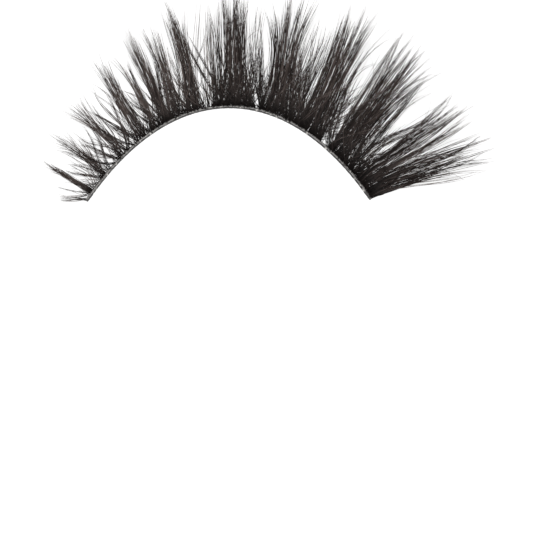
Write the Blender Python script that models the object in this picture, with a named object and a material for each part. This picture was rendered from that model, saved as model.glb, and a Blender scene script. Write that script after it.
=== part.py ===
import bpy
import bmesh
import numpy as np

# A false eyelash strip, lying on a table with its hairs curling up off it.
# +X runs to the outer corner, +Y from the lid out to the tips, +Z up.
# Sizes are in millimetres until a mesh or curve is made.
mm = 0.001

# Band: a flat-bottomed nylon line along an arc of an ellipse
band_half_span = 24.3  # the ellipse's half width
band_half_depth = 49.6  # the ellipse's half depth
band_inner_end = 17.8  # along the band, from its middle to the inner corner
band_outer_end = 17.6
band_width = 0.42
band_height = 0.34
band_steps = 56
band_tip = 0.72  # size of the band's section at its two ends
band_tip_length = 0.5
# Its section, as shares of the width and height, from its flat underside up
band_profile = (
    (-0.5, 0.26), (-0.44, 0.76), (-0.2, 1.0), (0.2, 1.0),
    (0.44, 0.76), (0.5, 0.26), (0.36, 0.0), (-0.36, 0.0),
)

# The origin lies under the middle of the strip's outline, the band's middle beside it
band_middle_x = -4.024
band_middle_y = -1.051

# Root bars: what each lock's spikes are fused to, beside the band
root_gap = 0.06  # between the band and a bar, and between two bars
root_depth = 0.5
root_height = 0.32
root_lift = 0.02
root_step = 0.9
spike_seat = 0.14  # how far into its bar a spike starts
lock_margin = 0.1  # band left free of spikes at each end of a lock

# Spikes: tapering hexagonal strips, flat near the root and then curling up
spike_rings = (0.0, 0.2, 0.42, 0.63, 0.82, 1.0)
spike_thick = (0.3, 0.36, 0.34, 0.28, 0.2, 0.08)
spike_taper = (1.0, 1.0, 1.0, 0.86, 0.58, 0.2)
spike_narrowest = 0.12
root_fill = 0.4  # a spike's half width over the distance to the next one, at the root
waist_fill = 0.54  # and at the waist, where they merge into one spear
spike_tier = 0.05  # spikes side by side start at three heights
curl_start = 0.3  # share of a spike's length that lies flat
curl_rise = 0.4  # tip height over spike length
curl_power = 1.9
curl_spread = 0.09  # how much the three tiers differ in curl

# One row for each tuft: its lock, where it grows on the band (from and to, along the
# band from its middle), the waist that its spikes pass through (x, y, half width),
# and the tips of its spikes (x, y)
tuft_columns = ("lock", "root_from", "root_to", "waist_x", "waist_y", "waist_half", "tips")
tufts = (
    (1, -17.75, -17.15, -15.75, -9.2, 0.16, ((-16.95, -9.4), (-17.65, -9.1), (-17.75, -8.75))),
    (2, -17.15, -16.85, -15.45, -8.0, 0.0, ((-17.35, -7.75),)),
    (2, -16.85, -16.5, -15.75, -7.2, 0.14, ((-18.2, -5.6), (-17.85, -5.3))),
    (3, -16.5, -14.9, -14.55, -6.5, 0.36, ((-16.25, -6.3), (-16.45, -5.85), (-16.35, -5.4))),
    (4, -14.9, -13.9, -14.95, -4.9, 0.45,
     ((-17.35, -4.2), (-17.65, -3.7), (-17.95, -2.6), (-17.25, -2.6), (-16.55, -2.5))),
    (4, -13.9, -13.25, -13.45, -4.1, 0.2, ((-15.25, -3.0), (-15.05, -2.2), (-14.55, -2.4))),
    (5, -13.25, -11.3, -13.15, -2.2, 0.55,
     ((-16.35, -0.4), (-16.25, 0.3), (-15.55, 0.8), (-15.05, 0.2))),
    (5, -11.3, -10.7, -12.1, -2.2, 0.12, ((-14.65, 1.5), (-14.15, 1.7))),
    (6, -10.7, -8.5, -10.75, 0.4, 0.6,
     ((-13.45, 4.1), (-13.05, 4.7), (-12.55, 5.1), (-11.95, 3.9))),
    (7, -8.5, -7.6, -8.85, 1.0, 0.25,
     ((-11.75, 4.7), (-11.25, 4.6), (-11.05, 5.5), (-10.65, 4.7))),
    (7, -7.6, -6.2, -7.95, 2.5, 0.6,
     ((-10.55, 7.2), (-10.05, 7.5), (-9.65, 7.1), (-9.15, 6.5))),
    (8, -6.2, -5.0, -6.65, 3.9, 0.4,
     ((-8.85, 7.7), (-8.35, 8.3), (-7.75, 7.9), (-7.25, 7.5))),
    (8, -5.0, -2.4, -4.25, 3.9, 0.8,
     ((-6.65, 9.2), (-6.25, 10.2), (-5.85, 9.9), (-4.95, 9.5))),
    (8, -2.4, -1.6, -2.65, 4.1, 0.2, ((-4.45, 7.4), (-3.95, 7.1))),
    (9, -1.6, 2.3, 0.35, 4.7, 1.4,
     ((-2.15, 10.5), (-1.35, 10.4), (-0.75, 11.1), (-0.15, 11.5),
      (0.45, 11.6), (1.05, 11.3), (1.55, 10.7), (2.05, 9.9))),
    (10, 2.3, 3.2, 2.65, 5.2, 0.2, ((2.55, 10.3), (3.15, 10.5))),
    (10, 3.2, 6.2, 5.55, 4.7, 1.25,
     ((3.85, 9.2), (4.55, 9.9), (5.45, 11.0), (6.15, 11.1),
      (6.85, 11.3), (7.65, 11.3), (8.25, 10.7), (8.55, 10.1))),
    (11, 6.2, 7.0, 7.65, 3.5, 0.25, ((8.95, 9.2), (9.55, 8.9), (10.25, 8.2))),
    (11, 7.0, 10.6, 10.55, 3.9, 1.25,
     ((11.25, 8.7), (11.85, 9.8), (12.35, 9.3), (12.95, 8.9),
      (13.65, 9.4), (14.35, 8.7), (14.95, 8.6))),
    (12, 10.6, 11.2, 12.05, 1.0, 0.15, ((13.45, 4.5), (14.05, 4.1))),
    (12, 11.2, 14.3, 14.85, 0.9, 1.6,
     ((16.95, 6.9), (17.55, 6.1), (18.25, 5.9), (18.85, 5.3),
      (19.45, 4.7), (20.15, 3.7), (20.05, 2.9))),
    (13, 14.3, 14.55, 17.05, -2.5, 0.0, ((21.65, 1.0),)),
    (13, 14.55, 15.95, 17.85, -4.1, 0.9,
     ((22.35, 1.4), (22.95, 0.3), (23.65, -0.2), (24.05, -0.8), (24.15, -1.7))),
    (14, 15.95, 17.0, 18.55, -6.3, 0.62,
     ((25.15, -2.7), (25.85, -3.3), (25.95, -4.2), (25.45, -4.7), (26.05, -5.5))),
    (15, 17.0, 17.35, 18.25, -7.55, 0.14, ((22.0, -6.35), (22.85, -6.7))),
    (15, 17.35, 17.6, 19.55, -7.85, 0.0, ((26.25, -6.1),)),
)


def band_curve():
    # The arc as points a small step apart, and how far along it each one lies
    across = np.linspace(-0.75, 0.75, 2001)
    x = band_half_span * np.sin(across)
    y = band_half_depth * (np.cos(across) - 1.0)
    along = np.concatenate(([0.0], np.cumsum(np.hypot(np.diff(x), np.diff(y)))))
    return x, y, along - np.interp(0.0, x, along)


arc_x, arc_y, arc_along = band_curve()


def beside_band(along, out):
    # Points at distances along the band, moved out from its middle line to the hair side
    along = np.atleast_1d(np.asarray(along, dtype=float))
    before = np.stack([np.interp(along - 0.05, arc_along, a) for a in (arc_x, arc_y)], axis=1)
    after = np.stack([np.interp(along + 0.05, arc_along, a) for a in (arc_x, arc_y)], axis=1)
    tangent = after - before
    tangent /= np.linalg.norm(tangent, axis=1)[:, None]
    normal = np.stack([-tangent[:, 1], tangent[:, 0]], axis=1)
    return (before + after) / 2 + normal * out, normal


def make_material(name, colour, roughness, alpha=1.0):
    material = bpy.data.materials.new(name)
    material.use_nodes = True
    shader = material.node_tree.nodes["Principled BSDF"]
    shader.inputs["Base Color"].default_value = (*colour, 1.0)
    shader.inputs["Roughness"].default_value = roughness
    shader.inputs["Metallic"].default_value = 0.0
    shader.inputs["Alpha"].default_value = alpha
    return material


def loft(name, rings):
    # A closed body through rings of equally many points, given from the band's middle
    mesh = bpy.data.meshes.new(name)
    bm = bmesh.new()
    loops = [[bm.verts.new(point) for point in np.array(ring) * mm] for ring in rings]
    for one, two in zip(loops, loops[1:]):
        for i in range(len(one)):
            j = (i + 1) % len(one)
            bm.faces.new((one[i], one[j], two[j], two[i]))
    bm.faces.new(loops[0])
    bm.faces.new(loops[-1])
    bmesh.ops.recalc_face_normals(bm, faces=bm.faces)
    bm.to_mesh(mesh)
    bm.free()
    return bpy.data.objects.new(name, mesh)


def root_bar(name, start, end):
    # The bar lies between its lock's neighbours, with half a gap left at each end
    steps = max(2, int(round((end - start) / root_step)) + 1)
    along = np.linspace(start + root_gap / 2, end - root_gap / 2, steps)
    near = band_width / 2 + root_gap
    inner, _ = beside_band(along, near)
    outer, _ = beside_band(along, near + root_depth)
    low, high = root_lift, root_lift + root_height
    rings = []
    for a, b in zip(inner, outer):
        rings.append([(*a, low), (*b, low), (*b, high), (*a, high)])
    return loft(name, rings)


def spike_path(root, waist, tip, shares):
    # A parabola through the root, the waist and the tip, timed by the straight distances
    first = np.linalg.norm(waist - root)
    middle = first / (first + np.linalg.norm(tip - waist))
    t = shares[:, None]
    weight_root = (t - middle) * (t - 1.0) / middle
    weight_waist = t * (t - 1.0) / (middle * (middle - 1.0))
    weight_tip = t * (t - middle) / (1.0 - middle)
    return root * weight_root + waist * weight_waist + tip * weight_tip, middle


def spike(name, root, waist, tip, root_half, waist_half, tier):
    shares = np.array(spike_rings)
    plan, middle = spike_path(root, waist, tip, shares)
    forward = np.gradient(plan, axis=0)
    forward /= np.linalg.norm(forward, axis=1)[:, None]
    side = np.stack([-forward[:, 1], forward[:, 0]], axis=1)
    length = np.linalg.norm(np.diff(plan, axis=0), axis=1).sum()
    half_width = np.interp(shares, (0.0, middle, 1.0), (root_half, waist_half, waist_half))
    half_width = np.maximum(half_width * spike_taper, spike_narrowest * np.array(spike_taper) / 2)
    half_thick = np.array(spike_thick) / 2
    curl = np.clip((shares - curl_start) / (1.0 - curl_start), 0.0, 1.0) ** curl_power
    rise = curl_rise * (1.0 + curl_spread * (tier - 1))
    height = half_thick * np.sin(np.pi / 3) + tier * spike_tier + rise * length * curl
    slope = np.arctan2(np.gradient(height), np.linalg.norm(np.gradient(plan, axis=0), axis=1))
    rings = []
    for i in range(len(shares)):
        ring = []
        for corner in range(6):
            angle = corner * np.pi / 3
            sideways = side[i] * half_width[i] * np.cos(angle)
            up = half_thick[i] * np.sin(angle)
            lean = forward[i] * -np.sin(slope[i]) * up
            ring.append((*(plan[i] + sideways + lean), height[i] + np.cos(slope[i]) * up))
        rings.append(ring)
    return loft(name, rings)


def tuft_spikes(row):
    # Roots are spread evenly over the tuft's stretch of band, waists across the waist
    count = len(row["tips"])
    step = (row["root_to"] - row["root_from"]) / count
    along = row["root_from"] + (np.arange(count) + 0.5) * step
    roots, _ = beside_band(along, band_width / 2 + root_gap + spike_seat)
    waist = np.array((row["waist_x"], row["waist_y"]))
    heading = waist - roots.mean(axis=0)
    heading /= np.linalg.norm(heading)
    right = np.array((heading[1], -heading[0]))
    spread = np.linspace(-1.0, 1.0, count) if count > 1 else np.zeros(1)
    waists = waist + spread[:, None] * right * row["waist_half"]
    waist_step = 2 * row["waist_half"] / (count - 1) if count > 1 else spike_narrowest * 1.4
    for i, tip in enumerate(row["tips"]):
        yield roots[i], waists[i], np.array(tip), step * root_fill, waist_step * waist_fill, i % 3


def place(piece, collection, material):
    # Pieces are modelled around the band's middle and ride on the empty that stands there
    piece.data.materials.append(material)
    piece.parent = band_middle
    collection.objects.link(piece)
    if collection == cutters:
        piece.hide_render = True
        piece.display_type = "WIRE"


for old in list(bpy.data.objects):
    bpy.data.objects.remove(old, do_unlink=True)

scene = bpy.context.scene
strip = bpy.data.collections.new("false_eyelash_strip")
cutters = bpy.data.collections.new("cutters")
scene.collection.children.link(strip)
scene.collection.children.link(cutters)
cutters.hide_render = True

band_middle = bpy.data.objects.new("band_middle", None)
band_middle.location = (band_middle_x * mm, band_middle_y * mm, 0.0)
band_middle.empty_display_size = 2 * mm
strip.objects.link(band_middle)

nylon = make_material("clear_nylon", (0.42, 0.41, 0.4), 0.35)
hair = make_material("dark_hair", (0.02, 0.017, 0.015), 0.45)

# Band: a profile with its origin on its flat underside, drawn along the arc
profile_data = bpy.data.curves.new("band_profile", "CURVE")
profile_data.dimensions = "2D"
spline = profile_data.splines.new("POLY")
spline.points.add(len(band_profile) - 1)
spline.use_cyclic_u = True
for point, (across, up) in zip(spline.points, band_profile):
    point.co = (across * band_width * mm, up * band_height * mm, 0.0, 1.0)
profile = bpy.data.objects.new("band_profile", profile_data)
place(profile, cutters, nylon)

band_data = bpy.data.curves.new("band", "CURVE")
band_data.dimensions = "3D"
band_data.twist_mode = "Z_UP"
band_data.bevel_mode = "OBJECT"
band_data.bevel_object = profile
band_data.use_fill_caps = True
ends = np.array((-band_inner_end, band_outer_end))
inside = np.linspace(ends[0] + band_tip_length, ends[1] - band_tip_length, band_steps)
stations = np.concatenate(([ends[0]], inside, [ends[1]]))
line, _ = beside_band(stations, 0.0)
spline = band_data.splines.new("POLY")
spline.points.add(len(stations) - 1)
for i, point in enumerate(spline.points):
    point.co = (*(line[i] * mm), 0.0, 1.0)
    point.radius = band_tip if i in (0, len(stations) - 1) else 1.0
place(bpy.data.objects.new("band", band_data), strip, nylon)

# Locks: each root bar, with its spikes fused to it
rows = [dict(zip(tuft_columns, values)) for values in tufts]
for number in sorted({row["lock"] for row in rows}):
    name = f"lash_lock_{number:02d}"
    own = [row for row in rows if row["lock"] == number]
    lock = root_bar(name, own[0]["root_from"], own[-1]["root_to"])
    own[0]["root_from"] += lock_margin
    own[-1]["root_to"] -= lock_margin
    place(lock, strip, hair)
    count = 0
    for row in own:
        for root, waist, tip, root_half, waist_half, tier in tuft_spikes(row):
            count += 1
            one = spike(f"{name}_spike_{count}", root, waist, tip, root_half, waist_half, tier)
            place(one, cutters, hair)
            fuse = lock.modifiers.new(f"fuse_{count}", "BOOLEAN")
            fuse.operation = "UNION"
            fuse.solver = "EXACT"
            fuse.object = one
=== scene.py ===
import bpy
import numpy as np
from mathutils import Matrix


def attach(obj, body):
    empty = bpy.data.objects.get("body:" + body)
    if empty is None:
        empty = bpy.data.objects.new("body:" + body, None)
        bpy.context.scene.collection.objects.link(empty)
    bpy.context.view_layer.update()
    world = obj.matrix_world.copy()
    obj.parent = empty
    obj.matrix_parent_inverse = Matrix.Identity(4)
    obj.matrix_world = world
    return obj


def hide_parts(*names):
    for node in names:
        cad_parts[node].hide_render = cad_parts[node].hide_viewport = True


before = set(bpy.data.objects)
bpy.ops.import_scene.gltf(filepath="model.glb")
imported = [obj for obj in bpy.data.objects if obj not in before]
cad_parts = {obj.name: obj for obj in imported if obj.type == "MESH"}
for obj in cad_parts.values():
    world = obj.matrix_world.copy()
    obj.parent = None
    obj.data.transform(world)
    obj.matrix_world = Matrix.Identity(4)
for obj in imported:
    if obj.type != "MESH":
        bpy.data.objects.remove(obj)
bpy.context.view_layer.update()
mm = 0.001

# The charts below are in millimetres from the band's middle: x to the outer corner, y out to the tips
strip = {
    "middleX": -4.024,  # where the band's middle lies in the model
    "middleY": -1.051,
    "halfSpan": 24.3,  # the band follows an arc of this ellipse
    "halfDepth": 49.6,
    "halfAngle": 0.75,  # of the arc that is worked out, a little past the band's ends
    "arcSteps": 3001,
    "nudge": 0.1,  # to either side of a point, for the arc's direction there
    "innerEnd": 17.8,  # length of band on either side of its middle
    "outerEnd": 17.6,
}

angle = np.linspace(-strip["halfAngle"], strip["halfAngle"], strip["arcSteps"])
arcX = strip["halfSpan"] * np.sin(angle)
arcY = strip["halfDepth"] * (np.cos(angle) - 1.0)
arcAlong = np.concatenate(([0.0], np.cumsum(np.hypot(np.diff(arcX), np.diff(arcY)))))
arcAlong -= np.interp(0.0, arcX, arcAlong)


# A point of the arc at a distance along it from its middle
def onArc(along):
    return np.interp(along, arcAlong, arcX), np.interp(along, arcAlong, arcY)


# A point beside the band: the arc at a distance along it, plus its outward normal times out
def besideBand(along, out):
    along = np.asarray(along, float)
    x, y = onArc(along)
    nextX, nextY = onArc(along + strip["nudge"])
    lastX, lastY = onArc(along - strip["nudge"])
    tx, ty = nextX - lastX, nextY - lastY
    size = np.hypot(tx, ty)
    return np.stack([x - ty / size * out, y + tx / size * out], axis=-1)


# From the chart's millimetres to the model's metres
def toModel(points):
    return (points + np.array((strip["middleX"], strip["middleY"], 0.0))) * mm


# Turns arrays of corners and four-sided faces into an object, with its uv and point values
def makeObject(name, points, quads, uv=None, values=None, material=None, smooth=True):
    mesh = bpy.data.meshes.new(name)
    mesh.vertices.add(len(points))
    mesh.vertices.foreach_set("co", np.ascontiguousarray(points, np.float32).ravel())
    mesh.loops.add(quads.size)
    mesh.loops.foreach_set("vertex_index", quads.astype(np.int32).ravel())
    mesh.polygons.add(len(quads))
    mesh.polygons.foreach_set("loop_start", np.arange(0, quads.size, 4, dtype=np.int32))
    mesh.update(calc_edges=True)
    mesh.polygons.foreach_set("use_smooth", np.full(len(quads), smooth))
    if uv is not None:
        layer = mesh.uv_layers.new(name="OFBake")
        layer.data.foreach_set("uv", np.ascontiguousarray(uv, np.float32).ravel())
    for label, numbers in (values or {}).items():
        layer = mesh.attributes.new(label, "FLOAT", "POINT")
        layer.data.foreach_set("value", np.ascontiguousarray(numbers, np.float32).ravel())
    if material:
        mesh.materials.append(material)
    thing = bpy.data.objects.new(name, mesh)
    bpy.context.scene.collection.objects.link(thing)
    return thing


# Node helpers
def newMaterial(name):
    material = bpy.data.materials.new(name)
    material.use_nodes = True
    return material, material.node_tree, material.node_tree.nodes["Principled BSDF"]


def addNode(tree, kind, inputs=None, **settings):
    node = tree.nodes.new(kind)
    for key, value in settings.items():
        setattr(node, key, value)
    for key, value in (inputs or {}).items():
        if isinstance(value, bpy.types.NodeSocket):
            tree.links.new(value, node.inputs[key])
        else:
            node.inputs[key].default_value = value
    return node


def addMath(tree, operation, first, second):
    return addNode(tree, "ShaderNodeMath", {0: first, 1: second}, operation=operation).outputs[0]


# Stops are places with a colour or one grey value each
def addRamp(tree, fac, stops):
    ramp = addNode(tree, "ShaderNodeValToRGB", {"Fac": fac})
    while len(ramp.color_ramp.elements) < len(stops):
        ramp.color_ramp.elements.new(0.5)
    for element, (place, colour) in zip(ramp.color_ramp.elements, stops):
        element.position = place
        element.color = (*np.broadcast_to(colour, 3), 1.0)
    return ramp.outputs["Color"]


def addRange(tree, value, source, target):
    ends = {"From Min": source[0], "From Max": source[1], "To Min": target[0], "To Max": target[1]}
    return addNode(tree, "ShaderNodeMapRange", {"Value": value, **ends}).outputs[0]


def addMix(tree, share, first, second, blend="MIX"):
    inputs = {0: share, 6: first, 7: second}
    return addNode(tree, "ShaderNodeMix", inputs, data_type="RGBA", blend_type=blend).outputs[2]


# Fine mottle, shared by the hair, the band and the floor: the mean of a fine and a coarse noise
mottle = bpy.data.node_groups.new("fineMottle", "ShaderNodeTree")
for label, direction in (("Fine Scale", "INPUT"), ("Coarse Scale", "INPUT"), ("Value", "OUTPUT")):
    mottle.interface.new_socket(label, in_out=direction, socket_type="NodeSocketFloat")
scales = mottle.nodes.new("NodeGroupInput").outputs
result = mottle.nodes.new("NodeGroupOutput").inputs
where = addNode(mottle, "ShaderNodeTexCoord").outputs["Object"]
fineInputs = {"Vector": where, "Scale": scales["Fine Scale"], "Detail": 3.0}
coarseInputs = {"Vector": where, "Scale": scales["Coarse Scale"], "Detail": 2.0}
fineNoise = addNode(mottle, "ShaderNodeTexNoise", fineInputs).outputs["Fac"]
coarseNoise = addNode(mottle, "ShaderNodeTexNoise", coarseInputs).outputs["Fac"]
mean = addMath(mottle, "MULTIPLY", addMath(mottle, "ADD", fineNoise, coarseNoise), 0.5)
mottle.links.new(mean, result["Value"])
mottleSpan = (0.3, 0.7)  # most of its values lie between these


def addMottle(tree, fine, coarse):
    scales = {"Fine Scale": fine, "Coarse Scale": coarse}
    return addNode(tree, "ShaderNodeGroup", scales, node_tree=mottle).outputs["Value"]


hairLook = {
    "body": (  # a dark hair's colours from root to tip
        (0.0, (0.0045, 0.0034, 0.0032)),
        (0.45, (0.012, 0.0092, 0.0084)),
        (0.8, (0.036, 0.028, 0.0255)),
        (1.0, (0.075, 0.058, 0.053)),
    ),
    "paleSheenBrown": (0.19, 0.152, 0.139),  # the palest hairs: partly their own brown, partly painted highlights along the strands
    "palenessAndSheen": ((0.0, 0.0), (0.35, 0.13), (0.7, 0.52), (1.0, 1.0)),  # a hair's tone, its share of brown and painted highlight
    "paleFrom": (0.06, 0.38),  # the brown comes in over this stretch of the hair
    "paleRoot": 0.12,  # share of it that is there at the root
    "mottle": (14000.0, 2200.0),
    "shade": (0.75, 1.25),
    "roughness": (0.3, 0.5),
    "specular": 0.12,
}


def makeHairMaterial():
    material, tree, shader = newMaterial("darkHair")
    along = addNode(tree, "ShaderNodeAttribute", attribute_name="hairAlong").outputs["Fac"]
    tone = addNode(tree, "ShaderNodeAttribute", attribute_name="hairTone").outputs["Fac"]
    body = addRamp(tree, along, hairLook["body"])
    # the pale brown is partly the hairs' own tone, which differs at random, and partly painted highlights along
    # the strands
    paleSheenAmount = addRamp(tree, tone, hairLook["palenessAndSheen"])
    fromRoot = addRange(tree, along, hairLook["paleFrom"], (hairLook["paleRoot"], 1.0))
    paleSheenPart = addMath(tree, "MULTIPLY", paleSheenAmount, fromRoot)
    coloured = addMix(tree, paleSheenPart, body, (*hairLook["paleSheenBrown"], 1.0))
    grain = addMottle(tree, *hairLook["mottle"])
    shade = addRange(tree, grain, mottleSpan, hairLook["shade"])
    gloss = addRange(tree, grain, mottleSpan, hairLook["roughness"])
    tree.links.new(addMix(tree, 1.0, coloured, shade, "MULTIPLY"), shader.inputs["Base Color"])
    tree.links.new(gloss, shader.inputs["Roughness"])
    shader.inputs["Specular IOR Level"].default_value = hairLook["specular"]
    return material


bandLook = {
    "width": 0.37,
    "shift": 0.025,  # of its middle, away from the lid
    "height": 0.34,
    "flat": 0.62,  # depth of the flat underside below the section's middle, in half heights
    "corners": 20,
    "stations": 640,
    "tipSize": 0.72,  # of the section, at the two ends
    "tipLength": 0.5,
    "lumps": ((0.03, 9.1, 0.0), (0.025, 23.7, 1.3)),  # depth, pace and start of each wave along it
    "highlightStripe": (0.3, 0.56, 0.8, 0.95),  # dark, light, light and dark, from the lid to the hair: the light middle is a painted highlight on the nylon's dark grey
    "dark": (0.045, 0.043, 0.042),
    # colour of the painted highlight along the band's middle
    "light": (0.26, 0.25, 0.24),
    # pale flecks: painted glints of light on the nylon
    "glint": (0.62, 0.6, 0.57),
    "glintScale": 2600.0,
    "glintSpan": (0.6, 0.7),  # noise where a painted glint begins and is full
    "mottle": (7000.0, 1700.0),
    "roughness": (0.18, 0.42),
    "bump": 0.35,
    "bumpDepth": 0.00004,
    "wallUv": 0.8,  # its wall unrolls into this much of the uv square, from the left
    "endUv": (0.08, 0.91, 0.05, 0.5),  # size and place of its end's patch, and the step up to the other's
}


def makeNylonMaterial():
    material, tree, shader = newMaterial("clearNylon")
    across = addNode(tree, "ShaderNodeAttribute", attribute_name="bandAcross").outputs["Fac"]
    blotch = addMottle(tree, *bandLook["mottle"])
    shifted = addMath(tree, "ADD", addMath(tree, "ADD", across, blotch), -0.5)
    colours = (bandLook["dark"], bandLook["light"], bandLook["light"], bandLook["dark"])
    # the nylon's dark grey with a painted highlight along the middle of its section
    highlightStripe = addRamp(tree, shifted, tuple(zip(bandLook["highlightStripe"], colours)))
    place = addNode(tree, "ShaderNodeTexCoord").outputs["Object"]
    # painted glints: pale flecks of light scattered over the band
    glintInputs = {"Vector": place, "Scale": bandLook["glintScale"], "Detail": 1.0}
    glintNoise = addNode(tree, "ShaderNodeTexNoise", glintInputs).outputs["Fac"]
    paintedGlintMask = addRamp(tree, glintNoise, tuple(zip(bandLook["glintSpan"], (0.0, 1.0))))
    glinted = addMix(tree, paintedGlintMask, highlightStripe, (*bandLook["glint"], 1.0))
    gloss = addRange(tree, blotch, mottleSpan, bandLook["roughness"])
    relief = {"Height": blotch, "Strength": bandLook["bump"], "Distance": bandLook["bumpDepth"]}
    tree.links.new(glinted, shader.inputs["Base Color"])
    tree.links.new(gloss, shader.inputs["Roughness"])
    tree.links.new(addNode(tree, "ShaderNodeBump", relief).outputs["Normal"], shader.inputs["Normal"])
    return material


# The band: a flat-bottomed round section carried along the arc, a little lumpy from the roots in it
def makeBand(material):
    stations = np.linspace(-strip["innerEnd"], strip["outerEnd"], bandLook["stations"])
    turn = np.linspace(0.0, 2 * np.pi, bandLook["corners"], endpoint=False)
    flat = bandLook["flat"]
    sectionX = np.cos(turn)
    sectionZ = (np.clip(np.sin(turn), -flat, 1.0) + flat) / (1 + flat)
    fromEnd = np.minimum(stations - stations[0], stations[-1] - stations)
    ending = np.clip(fromEnd / bandLook["tipLength"], 0, 1) ** 0.5
    size = bandLook["tipSize"] + (1 - bandLook["tipSize"]) * ending
    lump = 1.0
    for depth, pace, start in bandLook["lumps"]:
        lump = lump + depth * np.sin(stations * pace + start)
    out = bandLook["shift"] + sectionX[None] * (bandLook["width"] / 2 * size * lump)[:, None]
    plan = besideBand(stations[:, None], out)
    height = sectionZ[None] * (bandLook["height"] * size * (lump + 1) / 2)[:, None]
    points = toModel(np.concatenate([plan, height[..., None]], axis=-1)).reshape(-1, 3)
    n, k = len(stations), len(turn)
    i, j = np.meshgrid(np.arange(n - 1), np.arange(k), indexing="ij")
    nextJ = (j + 1) % k
    quads = np.stack([i * k + j, (i + 1) * k + j, (i + 1) * k + nextJ, i * k + nextJ], axis=-1)
    startCap = np.array([[a, a + 1, k - 2 - a, k - 1 - a] for a in range(k // 2 - 1)])
    endCap = startCap[:, ::-1]
    quads = np.concatenate([quads.reshape(-1, 4), startCap, endCap + (n - 1) * k])
    u = (j[..., None] + np.array([0, 0, 1, 1])) / k
    v = (i[..., None] + np.array([0, 1, 1, 0])) / (n - 1)
    wallUv = np.stack([u * bandLook["wallUv"], v], axis=-1).reshape(-1, 2)
    patch, patchX, patchY, step = bandLook["endUv"]
    face = np.stack([sectionX * patch + patchX, sectionZ * patch + patchY], axis=-1)
    capUv = np.concatenate([face[startCap], face[endCap] + (0.0, step)]).reshape(-1, 2)
    values = {"bandAcross": np.tile(sectionX / 2 + 0.5, n)}
    return makeObject("nylonBand", points, quads, np.concatenate([wallUv, capUv]), values, material)


print("scene: materials")
hair = makeHairMaterial()
nylon = makeNylonMaterial()

print("scene: band")
band = makeBand(nylon)
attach(band, "root")
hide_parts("band")

# Tufts: lock, band stretch (from, to), waist (x, y, half width), hairs, hairs to a wisp, the wisp's spread
# at its tip (small makes a pointed blade, large a feathery end), tips (x, y)
tuftColumns = ("lock", "rootFrom", "rootTo", "waistX", "waistY", "waistHalf", "hairs", "wisp", "fan", "tips")
tufts = (
    (1, -17.75, -17.15, -15.75, -9.15, 0.16, 12, 3, 0.12, ((-16.95, -9.4), (-17.65, -9.1), (-17.75, -8.75))),
    (2, -17.0, -16.45, -15.6, -7.38, 0.13, 40, 8, 0.05, ((-18.15, -5.72), (-17.95, -5.8))),
    (3, -16.2, -15.0, -14.55, -6.4, 0.3, 6, 2, 0.12, ((-16.25, -6.3), (-16.45, -5.85), (-16.35, -5.4))),
    (4, -15.1, -14.0, -14.35, -5.1, 0.25, 34, 4, 0.16,
     ((-17.0, -4.3), (-17.5, -3.7), (-17.95, -2.75), (-17.2, -2.8), (-16.5, -2.6))),
    (5, -12.6, -11.3, -13.15, -2.2, 0.4, 32, 4, 0.2,
     ((-16.35, -0.4), (-16.25, 0.3), (-15.55, 0.8), (-15.05, 0.2))),
    (6, -10.1, -8.7, -10.7, 0.4, 0.42, 44, 4, 0.2,
     ((-13.45, 4.1), (-13.05, 4.7), (-12.55, 5.1), (-11.95, 3.9))),
    (7, -8.7, -7.5, -8.85, 1.0, 0.3, 18, 3, 0.2,
     ((-11.75, 4.7), (-11.25, 4.6), (-11.05, 5.5), (-10.65, 4.7))),
    (7, -7.0, -5.8, -7.95, 2.5, 0.45, 50, 5, 0.16,
     ((-10.55, 7.2), (-10.05, 7.5), (-9.65, 7.1), (-9.15, 6.5))),
    (8, -6.2, -4.9, -6.65, 3.9, 0.5, 36, 4, 0.18,
     ((-8.85, 7.7), (-8.35, 8.3), (-7.75, 7.9), (-7.25, 7.5))),
    (8, -4.5, -2.5, -4.3, 3.9, 0.6, 72, 5, 0.15,
     ((-6.65, 9.2), (-6.25, 10.2), (-5.85, 9.9), (-4.95, 9.5))),
    (9, -0.9, 1.7, 0.55, 5.0, 0.95, 90, 5, 0.1,
     ((-0.75, 11.1), (-0.15, 11.5), (0.45, 11.6), (0.65, 11.5), (1.05, 11.3), (1.55, 10.7))),
    (9, -1.7, 2.3, -0.1, 5.0, 1.8, 60, 2, 0.12,
     ((-2.15, 10.5), (-1.35, 10.4), (-0.75, 11.1), (1.05, 11.3), (1.55, 10.7), (2.05, 9.9))),
    (10, 3.2, 5.7, 5.3, 4.2, 1.0, 124, 5, 0.09,
     ((3.85, 9.2), (4.55, 9.9), (5.45, 11.0), (6.15, 11.1),
      (6.85, 11.3), (7.65, 11.3), (8.25, 10.7), (8.55, 10.1))),
    (11, 7.1, 9.4, 10.8, 3.9, 1.15, 134, 5, 0.08,
     ((11.25, 8.7), (11.85, 9.8), (12.35, 9.3), (12.95, 8.9),
      (13.65, 9.4), (14.35, 8.7), (14.95, 8.6))),
    (12, 11.2, 14.0, 15.2, 0.9, 1.6, 154, 5, 0.07,
     ((16.95, 6.9), (17.55, 6.1), (18.25, 5.9), (18.85, 5.3),
      (19.45, 4.7), (20.15, 3.7), (20.05, 2.9))),
    (13, 14.4, 16.0, 17.85, -4.1, 1.05, 76, 5, 0.07,
     ((22.35, 1.4), (22.95, 0.3), (23.65, -0.2), (24.05, -0.8), (24.15, -1.7))),
    (14, 15.9, 17.1, 18.55, -6.3, 0.85, 58, 5, 0.07,
     ((25.15, -2.7), (25.85, -3.3), (25.95, -4.2), (25.45, -4.7), (26.05, -5.5))),
    (15, 17.0, 17.5, 18.15, -7.55, 0.2, 16, 4, 0.07, ((22.0, -6.35), (22.85, -6.7))),
)

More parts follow.
